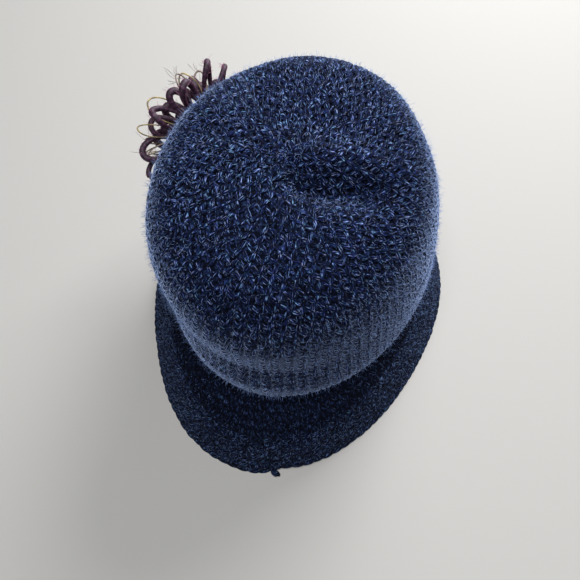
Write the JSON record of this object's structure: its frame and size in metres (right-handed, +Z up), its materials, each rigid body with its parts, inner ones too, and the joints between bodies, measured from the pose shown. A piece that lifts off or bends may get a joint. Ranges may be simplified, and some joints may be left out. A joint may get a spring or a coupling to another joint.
{
  "type": "knit cloche hat",
  "caption": "Soft knit cloche: puffed crown over a drawn-in band and a flared brim, with a loop flower on the wearer's left.",
  "frame": {"origin": "under the middle of the hat's bounding box, on the surface that the brim stands on", "axes": "+Z up out of the crown, -Y to the hat's front, +X to the wearer's left"},
  "size_m": [0.222, 0.2662, 0.1872],
  "materials": {
    "navy_wool": "fuzzy marled wool yarn, navy with light blue plies, knitted",
    "plum_cord": "soft plum chenille cord",
    "plum_crochet": "plum yarn, crocheted in the round"
  },
  "bodies": {
    "root": {"crown": "navy_wool", "crown_puff": "navy_wool", "band": "navy_wool", "brim": "navy_wool", "flower_backing": "plum_crochet", "flower_loops": "plum_cord"}
  },
  "joints": []
}
